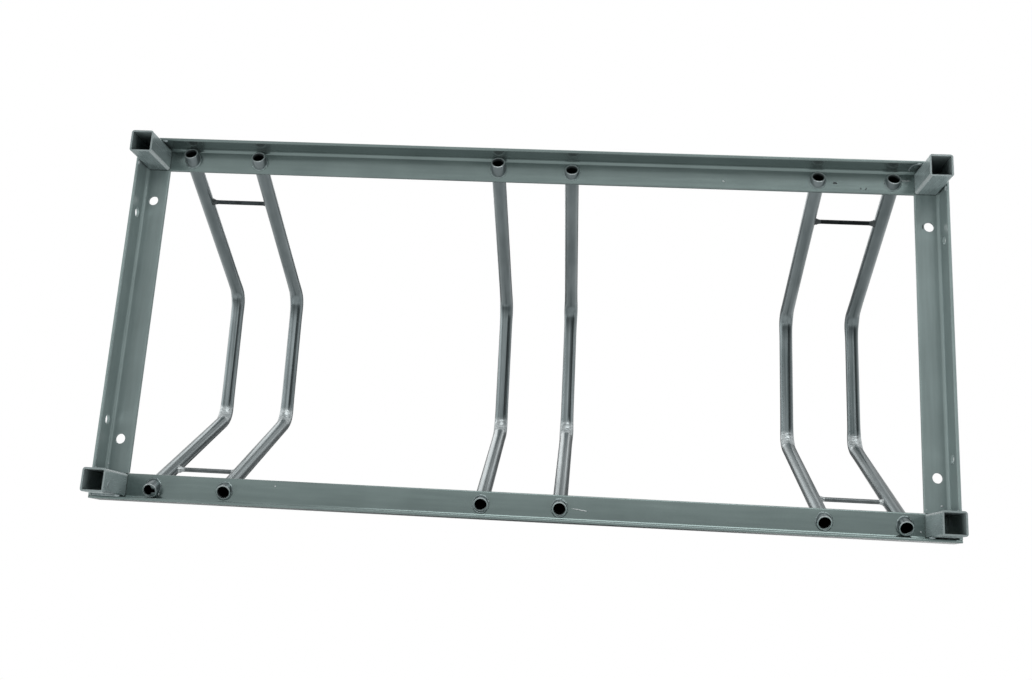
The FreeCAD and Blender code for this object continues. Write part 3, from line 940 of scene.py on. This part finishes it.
def zinc_on_tube():
    """Hot-dip zinc on drawn tube: thinner and glossier, streaked along the tube.

    Along its inner side it has a painted reflection, a dark stripe along the level run, a dull patch
    behind the front bend and pale frosting past the level run. The mouths have painted shade in
    their bore and a painted highlight on their rim.
    """
    material, tree = new_material("hot_dip_zinc_on_round_tube")
    stored = [add_node(tree, "Attribute", {}, attribute_name=name) for name in STORED_PLACES]
    places = [attribute.outputs["Vector"] for attribute in stored]
    axes, marks, mouth = [add_node(tree, "SeparateXYZ", {0: place}).outputs for place in places]
    place = places[0]

    streak = patches(tree, place, 2.4 * MM, 1.5, 0.45, (1.0, 1.0, 0.012))
    behind = shown(tree, (marks["X"], -6.0, 6.0))
    streak = add_node(tree, "Mix", {0: behind, 2: 0.5, 3: streak}).outputs[0]
    cloud = patches(tree, place, 14.0 * MM, 2.0, 0.7, (1.0, 1.0, 0.3))
    tone = combine(tree, "ADD", combine(tree, "MULTIPLY", streak, 2.0), cloud)
    tone = combine(tree, "ADD", combine(tree, "MULTIPLY", tone, 1.0 / 3.0), mouth["Z"])

    inside = shown(tree, (axes["Y"], 1.0, -3.0))
    across = band(tree, axes["X"], 0.0, 4.5 * MM, 2.5 * MM)
    ragged = combine(tree, "ADD", marks["X"], varied(tree, cloud, -2.0 * MM, 2.0 * MM))
    patch = shown(tree, (marks["X"], -1.0, 4.5), (ragged, 26.0, 8.0))
    dull = combine(tree, "MULTIPLY", patch, inside, across, 0.7)
    # Painted reflection: a dark stripe along the inner side of the level run
    stripe_line = band(tree, marks["Y"], 0.0, REFLECTION_STRIPE_HALF, 0.7 * MM)
    level_run = band(tree, marks["Z"], -68.0 * MM, 62.0 * MM, 8.0 * MM)
    painted_reflection_stripe = combine(tree, "MULTIPLY", stripe_line, level_run, inside, 0.78)
    frosting = patches(tree, place, 3.5 * MM, 2.0, 0.6)
    past_run = band(tree, marks["Z"], 16.0 * MM, 10.0 * MM, 7.0 * MM)
    frost = combine(tree, "MULTIPLY", past_run, frosting, inside)
    # Painted shade darkens the bore of each mouth
    shaded_bore = shown(tree, (mouth["X"], 7.2, 6.9), (mouth["Y"], 0.5, 5.0))
    # Painted highlight lightens the rim of each mouth
    rim = combine(tree, "MULTIPLY", shown(tree, (mouth["Y"], 0.35, 0.15)), 0.7)

    colour = layered(
        tree, "#3f4a4b", (tone, "#929b9d"), (painted_reflection_stripe, "#2c3435"), (dull, "#2c3435"), (frost, "#c3c9ca"),
        (shaded_bore, "#1a2221"), (rim, "#c0c8c8"))
    rough = varied(tree, streak, 0.24, 0.34, combine(tree, "MULTIPLY", frost, 0.15))
    skin(tree, colour, 0.8, rough, (streak, 0.03, 0.3), (cloud, 0.1, 0.4))
    return material


def zinc_in_patches(name, size, dark, pale, metallic, rough):
    """Uneven zinc of a small piece, such as a dark rod or a weld: dark and pale patches."""
    material, tree = new_material(name)
    place = add_node(tree, "TexCoord", {}).outputs["Object"]
    cloud = patches(tree, place, size * MM, 3.0, 0.6)
    colour = layered(tree, dark, (cloud, pale))
    zinc(tree, place, colour, metallic, varied(tree, cloud, *rough), 0.8 * MM, 0.35)
    return material


# Stage, light and camera

def world():
    """White behind the rack and in its reflections, a plain grey light on matt surfaces."""
    background = bpy.data.worlds.new("studio")
    background.use_nodes = True
    bpy.context.scene.world = background
    tree = background.node_tree
    tree.nodes.clear()
    path = add_node(tree, "LightPath", {}).outputs
    seen = combine(
        tree, "MAXIMUM", path["Is Camera Ray"], path["Is Glossy Ray"], path["Is Transmission Ray"])
    light = add_node(tree, "Background", {"Color": linear("#c8ccce"), "Strength": 0.5})
    white = add_node(tree, "Background", {"Color": linear("#ffffff"), "Strength": 1.0})
    both = add_node(tree, "MixShader", {0: seen, 1: light.outputs[0], 2: white.outputs[0]})
    add_node(tree, "OutputWorld", {"Surface": both.outputs[0]})


def turned_to_rack(place):
    """Turn that points the local -Z axis of something at a place to the rack."""
    return (AIM - Vector(place)).to_track_quat("-Z", "Y").to_euler()


def soft_box(name, place, width, height, power, mirrored):
    """A rectangular soft lamp."""
    lamp = bpy.data.lights.new(name, "AREA")
    lamp.shape = "RECTANGLE"
    lamp.size = width
    lamp.size_y = height
    lamp.energy = power
    holder = bpy.data.objects.new(name, lamp)
    holder.location = place
    holder.rotation_euler = turned_to_rack(place)
    holder.visible_glossy = mirrored
    bpy.context.scene.collection.objects.link(holder)


def card(name, place, width, height, strength):
    """A plain card that only reflections see."""
    bpy.ops.mesh.primitive_plane_add(size=1.0, location=place, rotation=turned_to_rack(place))
    piece = bpy.context.object
    piece.scale = (width, height, 1.0)
    piece.name = name
    material, tree = new_material(name)
    paint = add_node(tree, "Emission", {"Color": linear("#ffffff"), "Strength": strength})
    add_node(tree, "OutputMaterial", {"Surface": paint.outputs[0]})
    piece.data.materials.append(material)
    piece.visible_camera = False
    piece.visible_diffuse = False
    piece.visible_shadow = False
    piece.visible_transmission = False


def floor():
    """Pale floor that is seen from above only, as the photograph looks up through it."""
    bpy.ops.mesh.primitive_plane_add(size=FLOOR_SIZE)
    piece = bpy.context.object
    piece.name = "floor"
    material, tree = new_material("pale_floor")
    paint = add_node(tree, "BsdfPrincipled", {"Base Color": linear("#c8c8c6"), "Roughness": 0.9})
    glow = add_node(tree, "Emission", {"Color": linear("#ffffff"), "Strength": 0.45})
    lit = add_node(tree, "AddShader", {0: paint.outputs[0], 1: glow.outputs[0]})
    place = add_node(tree, "TexCoord", {}).outputs["Object"]
    away = add_node(tree, "VectorMath", {0: place}, operation="LENGTH").outputs["Value"]
    far = shown(tree, (away, FLOOR_OWN, FLOOR_WHITE))
    white = add_node(tree, "Emission", {"Color": linear("#ffffff"), "Strength": 1.0})
    above = add_node(tree, "MixShader", {0: far, 1: lit.outputs[0], 2: white.outputs[0]})
    clear = add_node(tree, "BsdfTransparent", {})
    below = add_node(tree, "NewGeometry", {}).outputs["Backfacing"]
    both = add_node(tree, "MixShader", {0: below, 1: above.outputs[0], 2: clear.outputs[0]})
    add_node(tree, "OutputMaterial", {"Surface": both.outputs[0]})
    piece.data.materials.append(material)
    piece.visible_shadow = False
    piece.visible_diffuse = False
    piece.visible_glossy = False


def camera():
    """Camera under the rack, looking up at it."""
    lens = bpy.data.cameras.new("camera")
    lens.sensor_width = CAMERA_SENSOR
    lens.lens = CAMERA_LENS
    lens.shift_x, lens.shift_y = CAMERA_SHIFT
    holder = bpy.data.objects.new("camera", lens)
    holder.location = CAMERA_PLACE
    holder.rotation_euler = Euler([math.radians(angle) for angle in CAMERA_TURN], "XYZ")
    bpy.context.scene.collection.objects.link(holder)
    bpy.context.scene.camera = holder


def main():
    bpy.ops.object.select_all(action="DESELECT")
    bpy.context.scene.view_settings.view_transform = "Standard"
    world()
    floor()
    camera()
    for name, settings in LAMPS.items():
        soft_box(name, *settings)
    for name, settings in CARDS.items():
        card(name, *settings)

    finishes = {}
    for name, settings in BAR_FINISHES.items():
        finishes[name] = zinc_on_bar(name, *settings)
    for name, settings in FOOT_FINISHES.items():
        finishes[name] = zinc_on_foot(name, *settings)
    for name, settings in SMALL_FINISHES.items():
        finishes[name] = zinc_in_patches(name, *settings)
    tube_zinc = zinc_on_tube()

    for number in range(len(HOOPS)):
        hoop_piece(number, tube_zinc)
    for node in ANGLES:
        finish = finishes["hot_dip_zinc_on_rail" if "rail" in node else "dull_zinc_on_side_member"]
        dressed_node(node, "_bar", ANGLE_EDGE, finish, "galvanised_angle")
    for corner in CORNERS:
        # The front left foot takes the darker copy of the finish, painted shade
        grade = "dull" if corner == "front_left" else "hot_dip"
        finish = finishes[grade + "_zinc_on_square_tube"]
        dressed_node("foot_" + corner, "_tube", FOOT_EDGE, finish, "galvanised_square_tube")
        finish = finishes[ROD_FINISHES[corner]]
        dressed_node("cross_rod_" + corner, "_bar", ROD_EDGE, finish, "galvanised_round_bar")
        corner_welds(corner, finishes["hot_dip_zinc_on_weld"])
    for row in ROW_SIGN:
        ring_welds(row, finishes["hot_dip_zinc_on_ring_weld"])
    for row in ROW_SIGN:
        rod_welds(row, finishes[ROD_WELD_FINISHES[row]])
    zinc_drops("zinc_drops", DROPS, finishes["bright_zinc_on_weld"])
    zinc_drops("dark_marks", DARK_MARKS, finishes["dark_zinc_on_weld"])


main()
